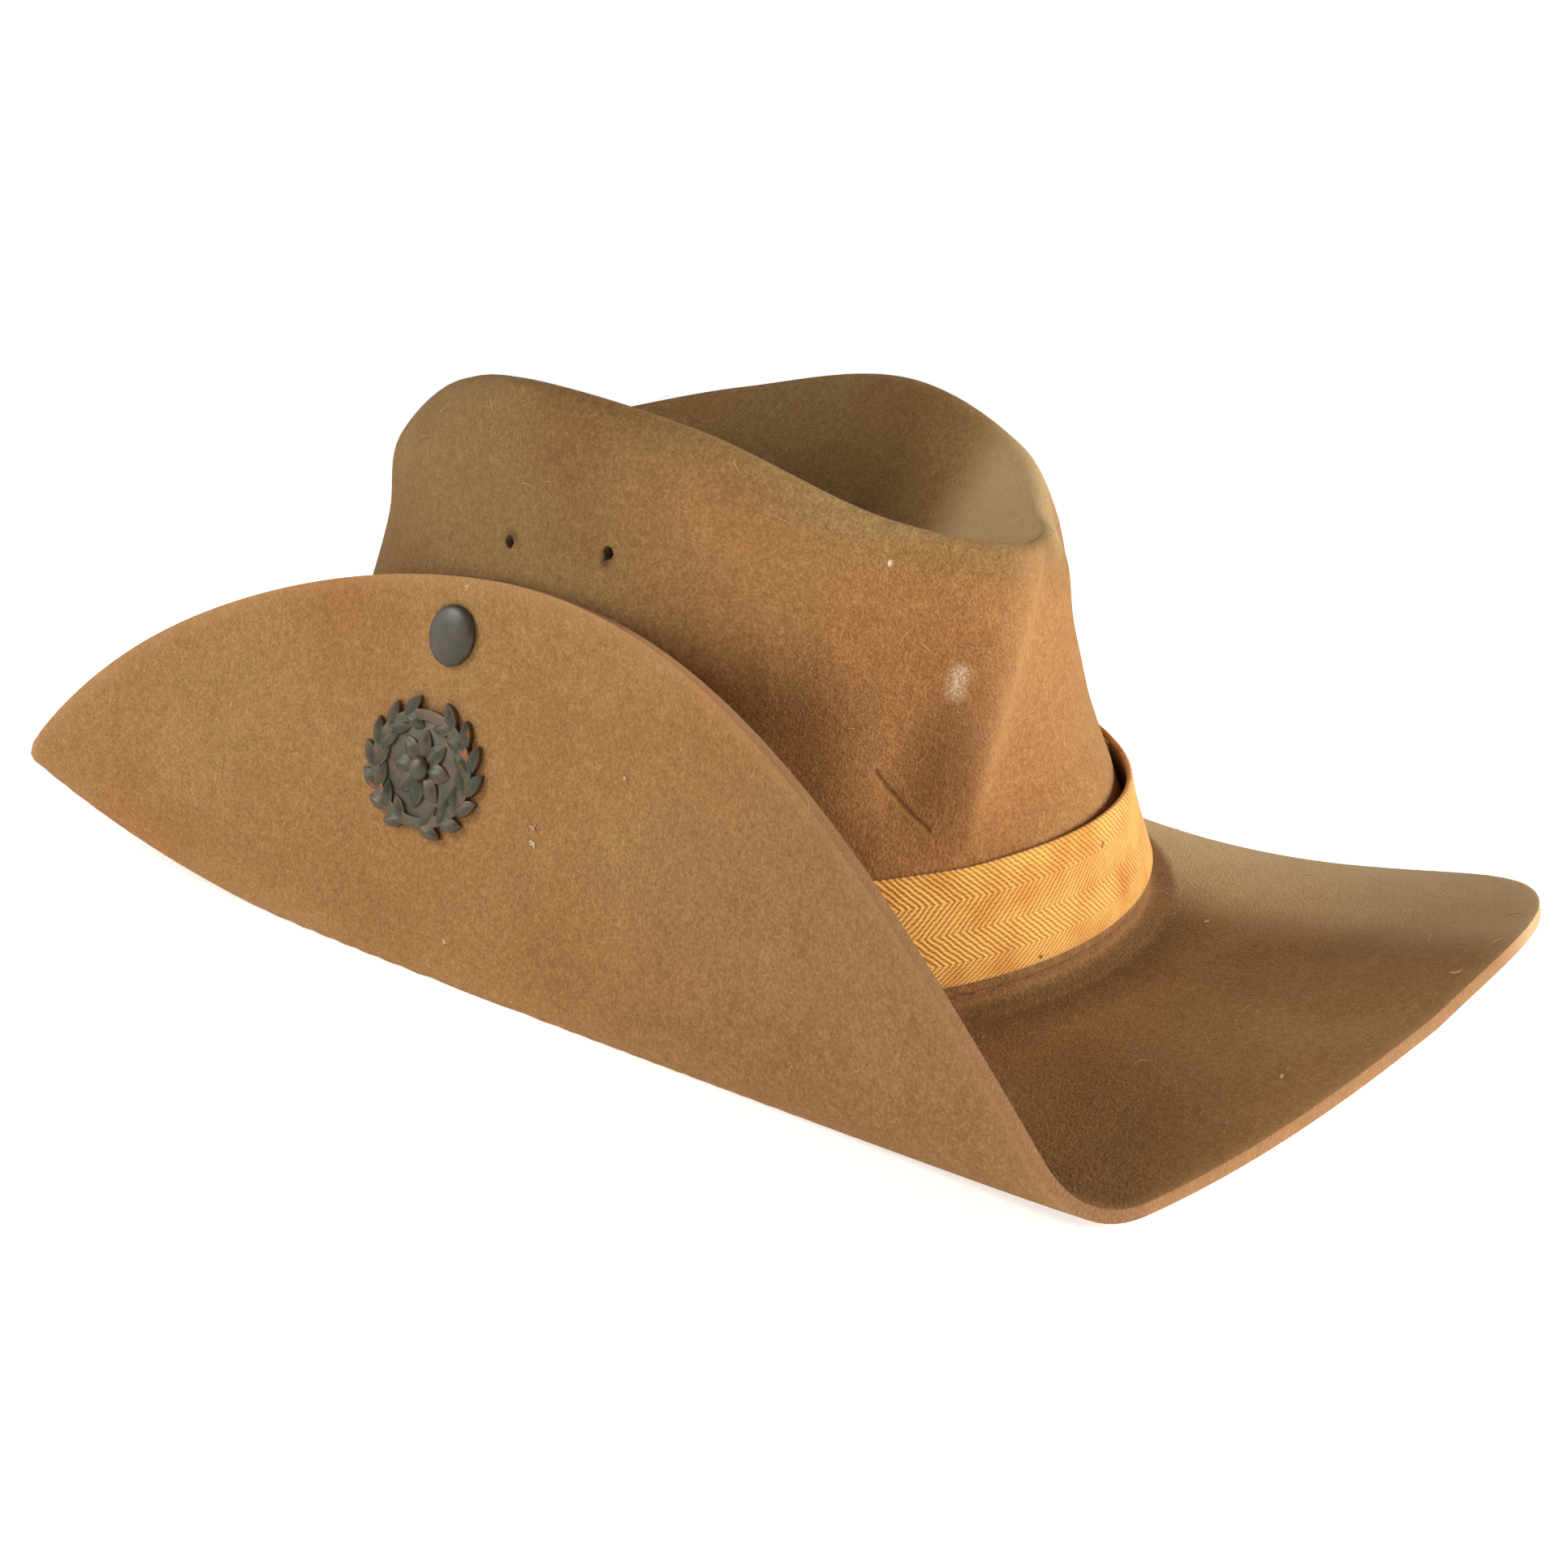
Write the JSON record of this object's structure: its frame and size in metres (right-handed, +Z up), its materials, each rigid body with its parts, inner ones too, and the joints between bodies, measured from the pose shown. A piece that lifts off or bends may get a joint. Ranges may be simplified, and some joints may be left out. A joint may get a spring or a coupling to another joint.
{
  "type": "slouch hat",
  "caption": "Felt hat with a long crease in its crown, a woven band, and a wide brim whose side is turned up and held flat to the crown by a press stud, with a small badge on it",
  "frame": {"origin": "centre of the bounding box at its bottom, on the surface that the hat rests on", "axes": "+Z up, +Y from the front of the hat to its back (the crown is pinched at the front), +X towards the open side of the brim, -X towards the turned-up side"},
  "size_m": [0.286, 0.368, 0.1335],
  "materials": {
    "felt": "pressed wool felt, khaki tan, worn, matte",
    "webbing": "herringbone twill webbing, mustard gold, matte",
    "stud": "dark brown-grey japanned metal, satin",
    "post": "plain brass, dull",
    "badge": "cast bronze, darkened, with coppery worn edges"
  },
  "bodies": {
    "root": {"felt_body": "felt", "hat_band": "webbing", "snap_cap": "stud", "snap_post": "post", "badge": "badge"}
  },
  "joints": []
}
